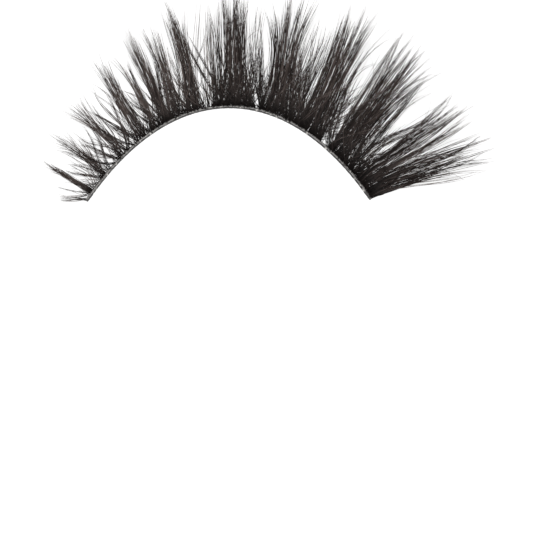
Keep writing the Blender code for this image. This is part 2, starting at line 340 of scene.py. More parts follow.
# Charted bundles that lace the tufts together, and strays: lock, hairs, spread, tone (0 black to 1 pale
# brown), points from the root out
bundleColumns = ("lock", "hairs", "spread", "tone", "path")
bundles = (
    (1, 3, 0.03, 0.5, ((-14.0, -9.4), (-15.2, -9.4), (-16.9, -9.4))),
    (2, 3, 0.03, 0.4, ((-13.85, -8.7), (-14.8, -8.55), (-15.6, -8.4), (-17.3, -8.05))),
    (2, 1, 0.0, 0.8, ((-14.0, -8.75), (-15.0, -8.65), (-16.4, -8.45))),
    (3, 6, 0.06, 0.35, ((-13.0, -7.55), (-13.7, -7.75), (-14.6, -7.75), (-16.6, -7.5))),
    (3, 3, 0.04, 0.85, ((-12.95, -7.3), (-13.9, -7.3), (-15.3, -7.3))),
    (3, 5, 0.05, 0.4, ((-13.3, -8.0), (-13.45, -7.2), (-13.75, -6.3), (-14.5, -5.3))),
    (3, 4, 0.05, 0.6, ((-13.45, -8.15), (-13.7, -7.2), (-14.05, -6.5), (-14.4, -5.9))),
    (3, 9, 0.05, 0.15, ((-12.75, -7.05), (-13.6, -6.95), (-14.6, -6.85), (-16.4, -6.4))),
    (3, 5, 0.08, 0.7, ((-12.75, -7.05), (-13.8, -6.9), (-14.8, -6.7), (-15.9, -6.3))),
    (3, 6, 0.05, 0.3, ((-12.6, -6.5), (-13.6, -6.2), (-14.6, -6.0), (-16.4, -5.75))),
    (4, 8, 0.06, 0.35, ((-12.7, -6.6), (-13.2, -5.1), (-13.6, -3.8), (-14.6, -1.9))),
    (4, 7, 0.07, 0.6, ((-12.9, -6.8), (-13.6, -5.1), (-14.3, -3.9), (-15.1, -2.1))),
    (4, 6, 0.07, 0.7, ((-13.0, -6.9), (-13.8, -5.0), (-14.5, -4.1), (-15.3, -2.9))),
    (4, 13, 0.07, 0.15, ((-11.5, -5.55), (-12.6, -5.65), (-13.6, -5.3), (-15.6, -4.1))),
    (4, 11, 0.07, 0.25, ((-10.95, -5.0), (-12.0, -4.9), (-13.2, -4.3), (-15.0, -3.9))),
    (4, 8, 0.07, 0.45, ((-11.0, -4.6), (-12.4, -3.95), (-13.6, -3.65), (-15.2, -3.0))),
    (4, 10, 0.07, 0.3, ((-12.0, -6.1), (-12.5, -4.9), (-13.0, -3.5), (-14.5, -1.2))),
    (4, 4, 0.06, 0.6, ((-11.5, -5.7), (-11.7, -4.9), (-12.3, -3.9), (-13.0, -3.0))),
    (4, 4, 0.06, 0.6, ((-13.2, -6.7), (-15.0, -5.5), (-17.1, -4.4))),
    (5, 11, 0.07, 0.2, ((-9.6, -3.7), (-10.6, -3.55), (-11.9, -2.95), (-13.8, -1.5))),
    (5, 11, 0.07, 0.25, ((-9.4, -3.0), (-10.5, -2.5), (-12.0, -1.55), (-14.3, -0.3))),
    (5, 8, 0.07, 0.35, ((-10.2, -4.1), (-10.7, -1.9), (-12.0, -0.6), (-13.6, 2.0))),
    (5, 10, 0.09, 0.4, ((-10.35, -4.2), (-10.8, -1.9), (-11.6, 0.0), (-12.6, 1.9))),
    (5, 4, 0.04, 0.5, ((-11.0, -4.7), (-11.8, -2.4), (-12.8, -1.1), (-13.9, 0.7))),
    (5, 2, 0.04, 0.5, ((-11.3, -4.9), (-12.4, -2.4), (-13.2, -1.2), (-14.6, 1.2))),
    (6, 2, 0.04, 0.5, ((-9.4, -3.1), (-11.0, -0.6), (-12.1, 0.3), (-13.9, 1.6))),
    (6, 4, 0.06, 0.45, ((-9.1, -2.8), (-10.7, -0.6), (-12.2, 1.2), (-14.0, 2.4))),
    (6, 10, 0.07, 0.15, ((-7.0, -2.0), (-8.6, -1.25), (-9.8, -0.3), (-11.1, 1.9))),
    (6, 8, 0.06, 0.2, ((-6.9, -1.8), (-8.4, -0.5), (-9.6, 0.2), (-10.8, 1.3))),
    (6, 6, 0.06, 0.5, ((-6.8, -1.6), (-7.9, 0.1), (-9.2, 1.0), (-10.6, 1.6))),
    (7, 17, 0.15, 0.75, ((-7.5, -2.2), (-8.1, -0.6), (-9.0, 1.1), (-10.4, 3.6))),
    (7, 7, 0.04, 0.2, ((-7.5, -2.3), (-7.6, -0.9), (-7.7, 0.5), (-8.4, 3.0))),
    (7, 11, 0.07, 0.1, ((-7.0, -2.1), (-7.1, -0.6), (-7.25, 1.0), (-8.0, 3.6))),
    (7, 7, 0.06, 0.2, ((-6.3, -1.5), (-6.7, 1.0), (-7.1, 2.8), (-7.5, 5.4))),
    (7, 4, 0.04, 0.3, ((-6.6, -1.6), (-7.0, 1.6), (-7.3, 3.9), (-7.9, 6.4))),
    (7, 6, 0.07, 0.5, ((-8.0, -2.4), (-8.6, 0.9), (-9.4, 2.6), (-10.7, 5.0))),
    (8, 4, 0.05, 0.3, ((-3.7, -0.5), (-4.9, 1.9), (-5.9, 3.2), (-7.3, 5.3))),
    (8, 4, 0.05, 0.4, ((-4.2, -0.7), (-5.2, 0.8), (-6.2, 1.8), (-7.6, 3.3))),
    (8, 5, 0.05, 0.3, ((-4.95, -1.0), (-5.1, 0.4), (-5.0, 1.9), (-5.4, 4.6))),
    (8, 9, 0.09, 0.45, ((-4.1, -0.6), (-4.4, 1.3), (-5.1, 3.0), (-6.1, 6.4))),
    (8, 4, 0.06, 0.9, ((-5.2, -0.9), (-5.8, 1.4), (-6.1, 3.2), (-6.5, 6.0))),
    (8, 4, 0.08, 0.9, ((-5.6, -1.1), (-6.3, 1.2), (-6.5, 3.2), (-6.9, 5.4))),
    (8, 12, 0.1, 0.25, ((-0.9, 0.1), (-1.9, 2.0), (-3.0, 3.8), (-4.6, 7.2))),
    (8, 9, 0.08, 0.3, ((-0.5, 0.1), (-1.6, 2.6), (-2.6, 4.5), (-4.2, 7.4))),
    (8, 4, 0.05, 0.3, ((-3.9, -0.4), (-3.6, 3.4), (-3.0, 5.2), (-2.2, 8.0))),
    (8, 6, 0.14, 0.9, ((-2.2, 0.0), (-2.2, 3.2), (-2.3, 5.6), (-2.5, 8.6))),
    (8, 10, 0.1, 0.4, ((-3.7, -0.6), (-5.1, 1.1), (-6.5, 3.9), (-7.5, 7.1))),
    (8, 1, 0.0, 0.6, ((-3.9, -0.6), (-4.6, 3.7), (-4.5, 7.9), (-4.2, 9.4))),
    (8, 5, 0.25, 0.5, ((-2.8, -0.2), (-3.3, 4.7), (-3.2, 7.7), (-2.9, 10.7))),
    (9, 6, 0.1, 0.9, ((-1.3, 0.1), (-1.55, 3.5), (-1.7, 5.5), (-1.9, 9.5))),
    (9, 9, 0.06, 0.1, ((-0.9, 0.0), (-0.9, 2.0), (-0.95, 4.5), (-1.2, 8.8))),
    (9, 8, 0.25, 0.5, ((-1.2, 0.0), (-1.6, 3.7), (-2.0, 7.2), (-2.1, 10.7))),
    (9, 5, 0.05, 0.3, ((2.1, 0.0), (1.75, 2.5), (1.55, 4.5), (1.3, 7.5))),
    (9, 4, 0.04, 0.4, ((1.8, 0.1), (2.3, 2.8), (2.6, 4.2), (3.3, 6.6))),
    (9, 1, 0.0, 0.5, ((0.7, 0.0), (1.1, 4.7), (2.1, 7.1), (3.1, 7.7))),
    (10, 8, 0.07, 0.3, ((3.2, 0.0), (2.6, 2.6), (2.3, 4.2), (1.9, 6.6))),
    (10, 8, 0.07, 0.3, ((3.2, 0.0), (2.95, 2.4), (3.0, 4.0), (2.7, 6.4))),
    (10, 7, 0.06, 0.5, ((2.5, 0.0), (2.15, 2.7), (2.5, 4.2), (3.2, 5.9))),
    (10, 14, 0.08, 0.2, ((3.5, -0.2), (3.15, 2.2), (3.15, 3.8), (3.4, 6.4))),
    (10, 10, 0.36, 0.5, ((1.8, 0.0), (2.3, 3.2), (2.7, 6.7), (3.3, 10.5))),
    (10, 10, 0.36, 0.5, ((4.0, -0.6), (3.0, 2.7), (2.8, 7.7), (2.5, 10.5))),
    (10, 10, 0.07, 0.15, ((5.7, -1.1), (5.75, 0.5), (5.9, 2.4), (6.5, 5.2))),
    (10, 3, 0.2, 0.8, ((3.4, -0.2), (4.4, 1.1), (5.7, 2.3), (7.2, 4.6))),
    (10, 3, 0.2, 0.8, ((4.0, -0.4), (5.2, 1.0), (6.2, 2.4), (7.8, 5.6))),
    (10, 1, 0.0, 0.5, ((7.1, -2.1), (8.0, 2.7), (8.2, 6.5), (7.6, 8.1))),
    (11, 10, 0.07, 0.15, ((6.1, -1.3), (6.15, 0.6), (6.2, 2.6), (6.8, 5.6))),
    (11, 17, 0.17, 0.7, ((6.5, -1.4), (6.55, 0.8), (6.65, 2.8), (7.1, 6.6))),
    (11, 10, 0.1, 0.4, ((6.9, -1.8), (7.0, 1.2), (7.0, 3.2), (7.6, 6.4))),
    (11, 8, 0.07, 0.3, ((7.2, -2.0), (7.6, 2.0), (7.95, 4.0), (8.2, 6.6))),
    (11, 7, 0.07, 0.3, ((7.7, -2.2), (8.4, 2.7), (9.2, 4.1), (10.6, 6.2))),
    (11, 2, 0.1, 0.9, ((7.0, -1.9), (7.5, 0.3), (8.7, 0.95), (10.6, 1.9))),
    (11, 2, 0.08, 0.9, ((6.9, -1.7), (7.9, -0.9), (9.2, 0.2), (10.7, 2.0))),
    (11, 8, 0.3, 0.4, ((6.2, -1.4), (7.4, 2.2), (8.3, 5.2), (9.0, 9.2))),
    (11, 6, 0.28, 0.4, ((6.3, -1.5), (7.5, 2.2), (8.6, 5.2), (9.4, 8.7))),
    (11, 6, 0.28, 0.4, ((6.4, -1.6), (7.6, 2.0), (8.9, 4.9), (10.0, 8.7))),
    (11, 6, 0.28, 0.4, ((6.5, -1.7), (7.8, 2.0), (9.1, 4.7), (10.3, 8.2))),
    (11, 7, 0.3, 0.6, ((6.2, -1.4), (6.2, 1.7), (6.2, 4.7), (6.0, 8.2))),
    (11, 1, 0.0, 0.5, ((6.1, -1.3), (7.1, 2.9), (8.3, 4.5), (9.1, 5.1))),
    (11, 2, 0.05, 0.6, ((9.6, -4.1), (11.1, 0.7), (12.7, 3.9), (16.3, 7.9))),
    (11, 2, 0.05, 0.6, ((9.9, -4.3), (11.3, 0.2), (13.1, 4.1), (16.4, 6.9))),
    (11, 1, 0.0, 0.6, ((10.1, -4.5), (11.6, 1.7), (13.1, 3.5), (15.1, 4.2))),
    (11, 20, 0.17, 0.2, ((9.0, -3.4), (9.9, -1.3), (10.6, 0.6), (11.8, 4.0))),
    (10, 9, 0.34, 0.6, ((5.9, -1.2), (6.6, 2.6), (7.4, 5.4), (8.7, 9.0))),
    (10, 5, 0.12, 0.9, ((3.8, -0.4), (5.6, 1.6), (7.6, 3.0), (9.8, 4.6))),
    (11, 10, 0.34, 0.6, ((6.6, -1.5), (7.0, 2.5), (7.9, 5.5), (9.2, 8.6))),
    (11, 9, 0.3, 0.7, ((6.9, -1.8), (7.8, 1.8), (8.6, 4.2), (10.2, 7.4))),
    (11, 5, 0.12, 0.9, ((6.4, -1.5), (8.0, 0.3), (10.0, 1.3), (12.6, 2.6))),
    (11, 8, 0.34, 0.7, ((10.3, -4.6), (11.4, 0.5), (12.8, 3.6), (14.6, 6.4))),
    (12, 6, 0.1, 0.85, ((9.0, -3.3), (10.9, -1.4), (13.4, 0.2), (16.6, 2.6))),
    (12, 5, 0.12, 0.9, ((8.0, -2.6), (9.9, -0.9), (12.3, 0.6), (15.2, 2.9))),
    (12, 3, 0.06, 0.85, ((8.7, -3.1), (10.6, -1.25), (13.6, -0.3), (16.2, 1.2))),
    (12, 2, 0.05, 0.8, ((8.9, -2.9), (10.6, -2.15), (12.8, -1.85), (15.0, -0.6))),
    (12, 3, 0.06, 0.85, ((9.8, -3.9), (11.6, -3.0), (13.6, -2.45), (16.0, -1.3))),
    (12, 4, 0.08, 0.6, ((10.4, -4.4), (11.3, -0.4), (12.0, 1.2), (12.9, 3.4))),
    (12, 1, 0.0, 0.6, ((9.6, -4.1), (11.3, 1.0), (13.1, 2.0), (14.1, 2.7))),
    (12, 1, 0.0, 0.4, ((8.5, -3.0), (11.2, 0.9), (12.4, 1.6), (14.2, 2.4))),
    (12, 2, 0.07, 0.4, ((8.9, -3.3), (11.0, -0.3), (12.2, 0.4), (14.0, 1.3))),
    (12, 1, 0.0, 0.5, ((10.3, -4.5), (13.4, 0.6), (14.4, 3.4), (13.9, 5.3))),
    (12, 2, 0.08, 0.4, ((9.8, -4.2), (11.6, 1.2), (12.8, 3.3), (15.2, 4.3))),
    (12, 3, 0.12, 0.4, ((10.0, -4.3), (11.9, 2.3), (13.1, 4.2), (15.4, 6.6))),
    (13, 2, 0.08, 0.4, ((12.6, -6.8), (15.4, -3.2), (18.2, 0.3), (20.2, 1.3))),
    (13, 3, 0.1, 0.4, ((12.0, -6.4), (14.8, -1.9), (16.6, 0.2), (18.8, 2.6))),
    (12, 10, 0.1, 0.4, ((9.8, -4.2), (10.5, -0.5), (11.9, 2.2), (13.1, 4.7))),
    (12, 24, 0.11, 0.3, ((11.8, -6.3), (14.9, -3.1), (17.3, -0.1), (20.1, 3.5))),
    (12, 6, 0.06, 0.3, ((12.2, -6.6), (14.2, -2.7), (15.9, -1.0), (17.8, 1.4))),
    (12, 2, 0.06, 0.7, ((11.7, -6.2), (14.9, -2.3), (17.3, -0.3), (20.1, 1.2))),
    (12, 1, 0.0, 0.6, ((11.6, -6.1), (15.1, -0.3), (17.1, 0.9), (18.8, 0.0))),
    (13, 5, 0.06, 0.35, ((12.9, -7.0), (14.0, -4.3), (15.6, -3.25), (18.6, -2.2))),
    (13, 6, 0.06, 0.3, ((13.0, -7.2), (15.7, -3.0), (18.6, -2.0), (22.3, 1.2))),
    (13, 8, 0.08, 0.4, ((13.1, -7.3), (15.5, -3.8), (18.4, -2.5), (21.6, 0.3))),
    (13, 10, 0.08, 0.3, ((13.0, -7.1), (16.0, -4.6), (19.0, -2.8), (22.9, 0.2))),
    (13, 8, 0.1, 0.4, ((12.1, -6.6), (14.6, -3.8), (18.6, -1.9), (22.4, 1.4))),
    (13, 1, 0.0, 0.6, ((12.6, -7.3), (17.1, -3.3), (19.5, -1.5), (19.4, 0.2))),
    (13, 1, 0.0, 0.6, ((12.7, -7.4), (17.3, -3.3), (19.6, -1.1), (20.1, 1.0))),
    (14, 15, 0.1, 0.15, ((13.9, -8.3), (17.2, -6.7), (20.6, -5.5), (25.1, -2.9))),
    (14, 10, 0.1, 0.3, ((14.0, -8.5), (17.0, -7.4), (20.2, -6.5), (23.6, -4.4))),
    (14, 6, 0.06, 0.3, ((14.1, -8.6), (18.2, -7.2), (22.0, -6.2), (25.7, -4.3))),
    (14, 2, 0.06, 0.6, ((13.9, -8.2), (18.8, -5.0), (22.4, -4.9), (24.6, -5.5))),
    (14, 2, 0.08, 0.8, ((14.1, -8.6), (19.0, -6.1), (22.6, -5.75), (25.9, -5.6))),
    (14, 1, 0.0, 0.6, ((13.7, -8.7), (18.1, -6.5), (21.7, -6.5), (23.8, -7.7))),
    (15, 7, 0.1, 0.8, ((14.0, -8.9), (17.1, -8.0), (21.6, -7.4), (26.2, -6.1))),
    (15, 20, 0.12, 0.3, ((14.0, -8.9), (16.1, -8.3), (18.1, -7.6), (21.1, -6.5))),
    (15, 8, 0.1, 0.85, ((14.2, -8.8), (17.8, -7.7), (21.8, -6.8), (26.0, -6.4))),
)

strand = {
    "seed": 400,  # each lock's own random numbers start at this plus its number
    "rings": 14,
    "radius": 0.0362,  # of a full hair at its root
    "tipRadius": 0.007,
    "taper": ((0, 0.5, 0.85, 1), (1, 0.95, 0.72, 0.1)),  # places along a hair, and its thickness there
    "curlStart": 0.3,  # the curl is the solid locks' own
    "curlRise": 0.4,
    "curlPower": 1.9,
    "curlSpread": (-0.12, 0.06),
    "curlTop": 5.4,  # no hair rises higher, in mm
    "farthest": (26.8, 11.75),  # no hair reaches past this x or y
    "farthestSpread": 0.5,  # nor do most come as near to it
    "layer": 0.34,  # depth of hair
    "layerShare": ((0, 0.2, 1), (0.8, 1.0, 0.25)),  # places along a hair, and the share of that depth there
    "clear": 0.01,  # between the ground and the lowest hair
    "wobble": 0.07,
    "waves": (3, 8),  # radians of wave along a hair
    "wispSpread": (0.09, 0.085),  # of a wisp's hairs at root and waist
    "wispWidth": 1.6,  # half width of a wisp, in spreads
    "loose": 0.35,  # of a hair from its place in the wisp, in spreads
    "cross": 0.2,  # the same, from point to point along it
    "firstLong": 9,  # first lock of the long side
    "shortPale": 0.18,  # the short side is this much paler
    "lastFine": 4,  # last lock of the inner end, whose hairs are finer
    "fineSize": 0.84,
    "fullTuft": 70,  # a tuft with fewer hairs has fewer of the loose ones below as well
    "knots": 12,  # very short hairs to each millimetre of root
    "stubs": 34,  # short thick dark hairs under each tuft
    "strays": 20,  # single hairs that lean out of each tuft
    "looseShares": (  # from this lock on: share of these knots, stubs and strays
        (1, 0.3, 0.5, 0.3),
        (6, 0.3, 0.5, 0.6),
        (9, 1.0, 1.0, 1.0),
    ),
}

tuftLook = {
    "rootScatter": 0.12,  # of a wisp's root from its place, in lengths of the tuft's stretch
    "rootOut": (-0.05, 0.3),  # from the band's middle
    "headingOut": 0.2,  # where the tuft's heading starts, from the band's middle
    "waistScatter": 0.14,  # in half widths
    "tipPick": 0.35,  # how far a wisp strays in its choice of tip
    "tipScatter": 0.18,
    "toneShape": (1.0, 1.6),  # of the beta distribution: more dark wisps than pale ones
    "toneScatter": 0.22,
    "liftScatter": 0.12,
    "reach": 1.1,  # of the longest wisps, in lengths of their path
    "wispShort": 0.25,  # what a wisp may fall short of that, and then each hair of it
    "hairShort": 0.22,
    "shortPower": 1.5,
}

# Pairs of hairs around the main tuft, wider than it
freeLook = {
    "leastWisp": 4,  # a tuft with fewer hairs to its wisps has no such pairs
    "long": 0.24,  # their number as a share of the tuft's hairs, on the long side and on the short side
    "short": 0.3,
    "waist": 1.35,  # times the tuft's own half width
    "fan": 0.3,
    "scatter": 1.5,  # of their ends, times the tufts' own
    "lift": 0.2,
}

leanLook = {
    "most": 0.9,  # radians
    "outerCalm": 3.8,  # near the strip's ends the lean turns away from them, and is smaller
    "innerCalm": 1.6,
    "calmed": 0.6,
    "past": 0.4,  # roots may lie this far to either side of the tuft's own stretch
    "endClear": 0.1,
    "rootOut": (0.0, 0.3),
    "bend": 0.15,
}

# Kinds of hair: times the full radius; tone, and lift in layers; lean in radians; length in distances from root
# to waist
kinds = {
    "main": {"size": (0.75, 1.05)},
    "free": {"size": (0.6, 0.9)},
    "knot": {"size": (1.0, 1.5), "lift": (0, 0.8), "lean": 0.6, "length": (0.06, 0.16)},
    "stub": {"size": (1.0, 1.5), "tone": (0, 0.3), "lift": (0, 0.5), "lean": 0.14, "length": (0.25, 0.75)},
    "stray": {"size": (0.75, 1.05), "tone": (0, 0.8), "lift": (0.5, 1.6), "lean": 0.34,
              "length": (0.7, 1.6)},
    "cross": {"size": (0.7, 0.95), "lift": (0.6, 1.6)},
    "bundle": {"size": (0.6, 0.95), "lift": (0.3, 1.4)},
}

# Wisps that cross from each of these tufts over its neighbours: lean in radians, left is positive; length in
# distances from root to waist
crossings = (
    {"first": 5, "last": 8, "wisps": 10, "hairs": 3, "lean": 0.5, "length": (0.8, 1.4), "tone": 0.3},
    {"first": 4, "last": 8, "wisps": 5, "hairs": 3, "lean": -0.35, "length": (0.6, 1.1), "tone": 0.3},
    {"first": 9, "last": 12, "wisps": 12, "hairs": 2, "lean": -0.5, "length": (0.8, 1.5), "tone": 0.35},
    {"first": 9, "last": 12, "wisps": 7, "hairs": 2, "lean": 0.38, "length": (0.6, 1.25), "tone": 0.3},
)
crossLook = {"leanSpread": 0.12, "spread": (0.04, 0.05, 0.08), "toneScatter": 0.2, "short": 0.25}
bundleLook = {"rootOut": (0.0, 0.25), "toneScatter": 0.15, "short": 0.35, "leastShort": 3}


# A curve through each hair's own points: Lagrange's sum, timed by the straight distances
def through(control, shares):
    steps = np.linalg.norm(np.diff(control, axis=1), axis=2)
    knots = np.concatenate([np.zeros((len(control), 1)), np.cumsum(steps, axis=1)], axis=1)
    knots /= knots[:, -1:]
    path = 0.0
    for a in range(control.shape[1]):
        weight = 1.0
        for b in range(control.shape[1]):
            if b != a:
                weight = weight * (shares - knots[:, b:b + 1]) / (knots[:, a:a + 1] - knots[:, b:b + 1])
        path = path + control[:, a:a + 1] * weight[..., None]
    return path


# A wisp's hairs run side by side: each keeps its place across the wisp, times the spread at each point
def spreadWisps(wisps, hairs, spread, rng):
    control = np.repeat(wisps, hairs, axis=0)
    n, k = control.shape[:2]
    scale = np.interp(np.linspace(0, 1, k), np.linspace(0, 1, len(spread)), spread)[None, :, None]
    heading = control[:, -1] - control[:, 0]
    side = np.stack([heading[:, 1], -heading[:, 0]], axis=1) / np.linalg.norm(heading, axis=1)[:, None]
    place = np.tile((np.arange(hairs) + 0.5) / hairs * 2 - 1, len(wisps))[:, None] * strand["wispWidth"]
    offset = side * place + rng.normal(0, strand["loose"], (n, 2))
    return control + (offset[:, None] + rng.normal(0, strand["cross"], (n, k, 2))) * scale


# The direction and the distance from a tuft's root to its waist
def tuftHeading(row):
    root = besideBand((row["rootFrom"] + row["rootTo"]) / 2, tuftLook["headingOut"])
    heading = np.array((row["waistX"], row["waistY"])) - root
    length = np.linalg.norm(heading)
    return heading / length, length


# Hairs lean away from the strip's two ends, so that none falls below its corners
def leanFrom(along, amount, towards, rng):
    lean = np.clip(rng.normal(towards, amount, len(along)), -leanLook["most"], leanLook["most"])
    inwards = np.abs(lean) * leanLook["calmed"]
    lean = np.where(along > strip["outerEnd"] - leanLook["outerCalm"], inwards, lean)
    return np.where(along < -strip["innerEnd"] + leanLook["innerCalm"], -inwards, lean)


# One tuft: roots along its stretch, waists across its waist, ends gathered at its tips
def tuftControl(row, rng):
    wisp, n = row["wisp"], max(2, row["hairs"] // row["wisp"])
    tips = np.array(row["tips"])
    order = (np.arange(n) + rng.uniform(0, 1, n)) / n
    rootShare = np.clip(order + rng.normal(0, tuftLook["rootScatter"], n), -0.05, 1.05)
    stretch = row["rootTo"] - row["rootFrom"]
    roots = besideBand(row["rootFrom"] + stretch * rootShare, rng.uniform(*tuftLook["rootOut"], n))
    heading = tuftHeading(row)[0]
    right = np.array((heading[1], -heading[0]))
    across = (order * 2 - 1) + rng.normal(0, tuftLook["waistScatter"], n)
    waists = np.array((row["waistX"], row["waistY"])) + across[:, None] * right * row["waistHalf"]
    pick = (order * len(tips) + rng.normal(0, tuftLook["tipPick"], n)).astype(int)
    scatter = tuftLook["tipScatter"] * row.get("scatter", 1.0)
    ends = tips[np.clip(pick, 0, len(tips) - 1)] + rng.normal(0, scatter, (n, 2))
    spread = (*strand["wispSpread"], row["fan"])
    control = spreadWisps(np.stack([roots, waists, ends], axis=1), wisp, spread, rng)
    hairs = len(control)
    lift = np.repeat(rng.random(n), wisp) + rng.normal(0, tuftLook["liftScatter"], hairs)
    tone = np.repeat(rng.beta(*tuftLook["toneShape"], n), wisp)
    tone = tone + rng.normal(0, tuftLook["toneScatter"], hairs)
    power = tuftLook["shortPower"]
    reach = np.repeat(tuftLook["reach"] - tuftLook["wispShort"] * rng.random(n) ** power, wisp)
    reach = reach - tuftLook["hairShort"] * rng.random(hairs) ** power
    return control, reach, np.clip(tone, 0, 1), np.clip(lift, 0, 1.2)


# A charted bundle, its first points put beside the band
def bundleControl(row, rng):
    n = row["hairs"]
    control = spreadWisps(np.array(row["path"])[None], n, np.full(3, row["spread"]), rng)
    nearest = np.argmin(np.hypot(arcX[None] - control[:, :1, 0], arcY[None] - control[:, :1, 1]), axis=1)
    control[:, 0] = besideBand(arcAlong[nearest], rng.uniform(*bundleLook["rootOut"], n))
    return control, np.clip(row["tone"] + rng.normal(0, bundleLook["toneScatter"], n), 0, 1)


# Wisps or single hairs that lean out of a tuft and bend back towards its heading
def leaningControl(row, count, amount, length, rng, towards=0.0):
    order = (np.arange(count) + rng.uniform(0, 1, count)) / max(1, count)
    stretch = row["rootTo"] - row["rootFrom"] + 2 * leanLook["past"]
    along = row["rootFrom"] - leanLook["past"] + stretch * order
    clear = leanLook["endClear"]
    along = np.clip(along, clear - strip["innerEnd"], strip["outerEnd"] - clear)
    roots = besideBand(along, rng.uniform(*leanLook["rootOut"], count))
    heading, full = tuftHeading(row)
    lean = leanFrom(along, amount, towards, rng)
    turned = np.arctan2(heading[1], heading[0]) + lean
    length = full * rng.uniform(*length, count)[:, None]
    direction = np.stack([np.cos(turned), np.sin(turned)], axis=1)
    sideways = np.stack([-direction[:, 1], direction[:, 0]], axis=1)
    middles = roots + direction * length * 0.5 + sideways * (lean[:, None] * leanLook["bend"] * length)
    return np.stack([roots, middles, roots + direction * length], axis=1)


# Lifts plan curves into space: a flat start, then height = rise * length * share ** power
def growHairs(control, reach, radius, tone, lift, rng):
    n = len(control)
    run = np.maximum(control[:, -1] - control[:, 0], 0.1)
    limit = np.array(strand["farthest"]) - rng.uniform(0.0, strand["farthestSpread"], (n, 1))
    fit = np.minimum(1.0, ((limit - control[:, 0]) / run).min(axis=1) / np.maximum(reach, 1.0))
    control = control[:, :1] + (control - control[:, :1]) * fit[:, None, None]
    shares = np.linspace(0, 1, strand["rings"])[None] * reach[:, None]
    plan = through(control, shares)
    step = np.gradient(plan, axis=1)
    sideways = np.stack([-step[..., 1], step[..., 0]], axis=-1)
    sideways /= np.linalg.norm(sideways, axis=2, keepdims=True)
    # a wave that is widest in the middle: size * 4 * share * (1.1 - share) * sin(start + pace * share)
    wave = np.sin(rng.uniform(0, 2 * np.pi, (n, 1)) + shares * rng.uniform(*strand["waves"], (n, 1)))
    wave = wave * 4 * shares * (1.1 - shares) * rng.normal(0, strand["wobble"], (n, 1))
    plan = plan + sideways * wave[..., None]
    length = np.linalg.norm(np.diff(control, axis=1), axis=2).sum(axis=1)[:, None]
    curl = np.clip((shares - strand["curlStart"]) / (1 - strand["curlStart"]), 0, 1) ** strand["curlPower"]
    rise = strand["curlRise"] * (1 + rng.uniform(*strand["curlSpread"], (n, 1)))
    rise = np.minimum(rise * length, strand["curlTop"])
    depth = strand["layer"] * np.interp(shares, *strand["layerShare"])
    thick = radius[:, None] * np.interp(shares / reach[:, None], *strand["taper"])
    thick = np.maximum(thick, strand["tipRadius"])
    height = thick + strand["clear"] + lift[:, None] * depth + rise * curl
    paths = toModel(np.concatenate([plan, height[..., None]], axis=-1))
    return paths, thick * mm, shares, tone


# Hairs of one kind, with what isn't given drawn from that kind's ranges
def growKind(name, control, rng, reach=None, tone=None, lift=None):
    kind, n = kinds[name], len(control)
    radius = strand["radius"] * rng.uniform(*kind["size"], n)
    if tone is None:
        tone = rng.uniform(*kind["tone"], n) if "tone" in kind else np.zeros(n)
    if lift is None:
        lift = rng.uniform(*kind["lift"], n)
    if reach is None:
        reach = np.ones(n)
    return growHairs(control, reach, radius, tone, lift, rng)


def growLeaning(name, row, count, rng):
    control = leaningControl(row, int(count), kinds[name]["lean"], kinds[name]["length"], rng)
    return growKind(name, control, rng)


def growCrossing(cross, row, count, rng):
    wisps = leaningControl(row, int(count), crossLook["leanSpread"], cross["length"], rng, cross["lean"])
    control = spreadWisps(wisps, cross["hairs"], crossLook["spread"], rng)
    n = len(control)
    tone = np.clip(cross["tone"] + rng.normal(0, crossLook["toneScatter"], n), 0, 1)
    return growKind("cross", control, rng, 1 - crossLook["short"] * rng.random(n), tone)


def growBundle(row, rng):
    control, tone = bundleControl(row, rng)
    n = len(control)
    short = bundleLook["short"] * rng.random(n) ** 1.5 if n >= bundleLook["leastShort"] else np.zeros(n)
    return growKind("bundle", control, rng, 1 - short, tone)


# All the hairs of one charted tuft: its wisps, the looser pairs, knots, stubs, crossing wisps and strays
def growTuft(lock, row, rng):
    control, reach, tone, lift = tuftControl(row, rng)
    sets = [growKind("main", control, rng, reach, tone, lift)]
    if row["wisp"] >= freeLook["leastWisp"]:
        free = dict(row, wisp=2, fan=freeLook["fan"], scatter=freeLook["scatter"])
        free["hairs"] = int(row["hairs"] * freeLook["long" if lock >= strand["firstLong"] else "short"])
        free["waistHalf"] = row["waistHalf"] * freeLook["waist"]
        control, reach, tone, lift = tuftControl(free, rng)
        sets.append(growKind("free", control, rng, reach, tone, lift + freeLook["lift"]))
    share = min(1.0, row["hairs"] / strand["fullTuft"])
    knots, stubs, strays = [rest for first, *rest in strand["looseShares"] if first <= lock][-1]
    knots = strand["knots"] * (row["rootTo"] - row["rootFrom"]) * share * knots
    sets.append(growLeaning("knot", row, knots, rng))
    sets.append(growLeaning("stub", row, strand["stubs"] * share * stubs, rng))
    for cross in crossings:
        if cross["first"] <= lock <= cross["last"]:
            sets.append(growCrossing(cross, row, cross["wisps"] * share, rng))
    sets.append(growLeaning("stray", row, strand["strays"] * share * strays, rng))
    return sets


def growLock(lock):
    rng = np.random.default_rng(strand["seed"] + lock)
    sets = []
    for values in tufts:
        if values[0] == lock:
            sets += growTuft(lock, dict(zip(tuftColumns, values)), rng)
    for values in bundles:
        if values[0] == lock:
            sets.append(growBundle(dict(zip(bundleColumns, values)), rng))
    paths, radii, shares, tones = (np.concatenate(part) for part in zip(*sets))
    if lock < strand["firstLong"]:
        tones = np.minimum(tones + strand["shortPale"], 1.0)
    if lock <= strand["lastFine"]:
        radii = radii * strand["fineSize"]
    return paths, radii, shares, tones


sides = 4  # of a hair's tube, as makeObject takes four-sided faces only


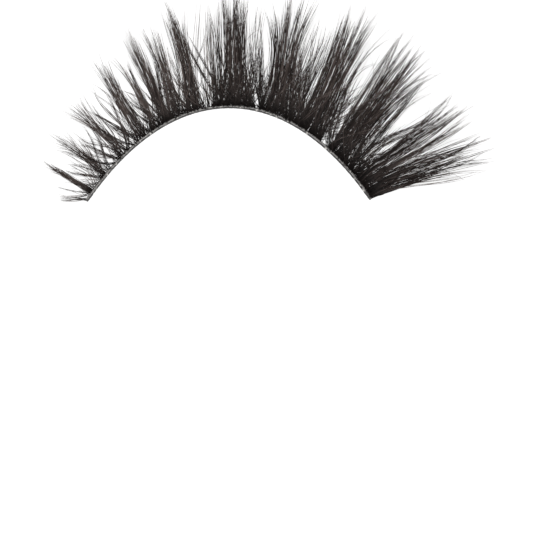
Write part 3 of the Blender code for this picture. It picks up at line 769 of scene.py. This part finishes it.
# Tubes along many paths at once: each ring is centre + radius * (cos * side + sin * up),
# where side is level and square to the path, and both ends are closed by a face
def tubes(paths, radii):
    count, rings = paths.shape[:2]
    forward = np.gradient(paths, axis=1)
    forward /= np.linalg.norm(forward, axis=2, keepdims=True)
    side = np.cross(forward, (0.0, 0.0, 1.0))
    side /= np.linalg.norm(side, axis=2, keepdims=True)
    up = np.cross(side, forward)
    around = (np.arange(sides) + 0.5) * 2 * np.pi / sides
    ring = np.cos(around)[:, None] * side[:, :, None] + np.sin(around)[:, None] * up[:, :, None]
    points = paths[:, :, None] + ring * radii[:, :, None, None]
    base = (np.arange(count) * rings * sides)[:, None, None]
    i, j = np.meshgrid(np.arange(rings - 1), np.arange(sides), indexing="ij")
    low, high, nextJ = i * sides, (i + 1) * sides, (j + 1) % sides
    walls = np.stack([low + j, low + nextJ, high + nextJ, high + j], axis=-1)
    walls = walls.reshape(1, -1, 4) + base
    corners = np.arange(sides)
    caps = np.array([corners[::-1], (rings - 1) * sides + corners])[None] + base
    quads = np.concatenate([walls, caps], axis=1).reshape(-1, 4)
    # each tube has an upright strip of the uv square, root at the bottom, a tenth of it free at either side
    u = (j[..., None] + np.array([0, 1, 1, 0])) / sides
    v = (i[..., None] + np.array([0, 0, 1, 1])) / (rings - 1)
    wallUv = np.stack([u, v], axis=-1).reshape(1, -1, 4, 2)
    capUv = np.zeros((1, 2, 4, 2))
    capUv[..., 0] = 0.5
    capUv[:, 1, :, 1] = 1.0
    uv = np.broadcast_to(np.concatenate([wallUv, capUv], axis=1), (count, wallUv.shape[1] + 2, 4, 2)).copy()
    uv[..., 0] = (np.arange(count)[:, None, None] + 0.1 + 0.8 * uv[..., 0]) / count
    return points.reshape(-1, 3), quads, uv.reshape(-1, 2)


print("scene: hair")
total = 0
for lock in range(1, 16):
    paths, radii, shares, tones = growLock(lock)
    points, quads, uv = tubes(paths, radii)
    values = {"hairAlong": np.repeat(shares, sides, axis=1)}
    values["hairTone"] = np.repeat(tones, sides * strand["rings"])
    piece = makeObject(f"hairLock{lock:02d}", points, quads, uv, values, hair)
    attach(piece, "root")
    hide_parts(f"lash_lock_{lock:02d}")
    total += len(paths)
print(f"scene: {total} hairs")

# Floor, lights and camera
print("scene: floor, lights, camera")
stage = {
    "floorHalf": 1.5,
    "floorSteps": 4,
    "floorDrop": 0.00001,  # it lies this far under the strip
    "mottle": (900.0, 60.0),
    "paper": (0.42, 0.45),
    "roughness": 0.9,
    "specular": 0.1,
    "glow": 0.75,
    "world": 0.4,
    "lights": (  # place, size and power
        ("keyLight", (-0.05, 0.22, 1.3), 0.5, 9.0),
        ("fillLight", (0.6, -0.5, 0.6), 0.7, 1.0),
    ),
}
paper, tree, shader = newMaterial("whitePaper")
paperTone = addRamp(tree, addMottle(tree, *stage["mottle"]), tuple(zip(mottleSpan, stage["paper"])))
tree.links.new(paperTone, shader.inputs["Base Color"])
shader.inputs["Roughness"].default_value = stage["roughness"]
shader.inputs["Specular IOR Level"].default_value = stage["specular"]
shader.inputs["Emission Color"].default_value = (1.0, 1.0, 1.0, 1.0)
shader.inputs["Emission Strength"].default_value = stage["glow"]
n = stage["floorSteps"]
grid = np.linspace(-stage["floorHalf"], stage["floorHalf"], n + 1)
x, y = np.meshgrid(grid, grid)
floorPoints = np.stack([x, y, np.full_like(x, -stage["floorDrop"])], axis=-1).reshape(-1, 3)
i, j = np.meshgrid(np.arange(n), np.arange(n), indexing="ij")
corner = i * (n + 1) + j
floorQuads = np.stack([corner, corner + 1, corner + n + 2, corner + n + 1], axis=-1).reshape(-1, 4)
floor = makeObject("paperFloor", floorPoints, floorQuads, material=paper, smooth=False)

scene = bpy.context.scene
scene.view_settings.view_transform = "Standard"
world = bpy.data.worlds.new("softRoom")
scene.world = world
world.use_nodes = True
world.node_tree.nodes["Background"].inputs["Color"].default_value = (1.0, 1.0, 1.0, 1.0)
world.node_tree.nodes["Background"].inputs["Strength"].default_value = stage["world"]


# Each light looks at the strip
def addLight(name, place, size, power):
    data = bpy.data.lights.new(name, "AREA")
    data.shape = "DISK"
    data.size = size
    data.energy = power
    light = bpy.data.objects.new(name, data)
    light.location = place
    aim = np.array(place) / np.linalg.norm(place)
    light.rotation_euler = (np.arccos(aim[2]), 0.0, np.arctan2(aim[0], -aim[1]))
    scene.collection.objects.link(light)


for light in stage["lights"]:
    addLight(*light)

view = {
    "distance": 1.2,
    "lens": 800.0,
    "sensor": 36.0,
    "clipStart": 0.01,
    "centreX": 0.046,
    "centreY": -17.371,
}
cameraData = bpy.data.cameras.new("camera")
cameraData.lens = view["lens"]
cameraData.sensor_width = view["sensor"]
cameraData.clip_start = view["clipStart"]
camera = bpy.data.objects.new("camera", cameraData)
camera.location = (view["centreX"] * mm, view["centreY"] * mm, view["distance"])
scene.collection.objects.link(camera)
scene.camera = camera

bpy.context.view_layer.update()
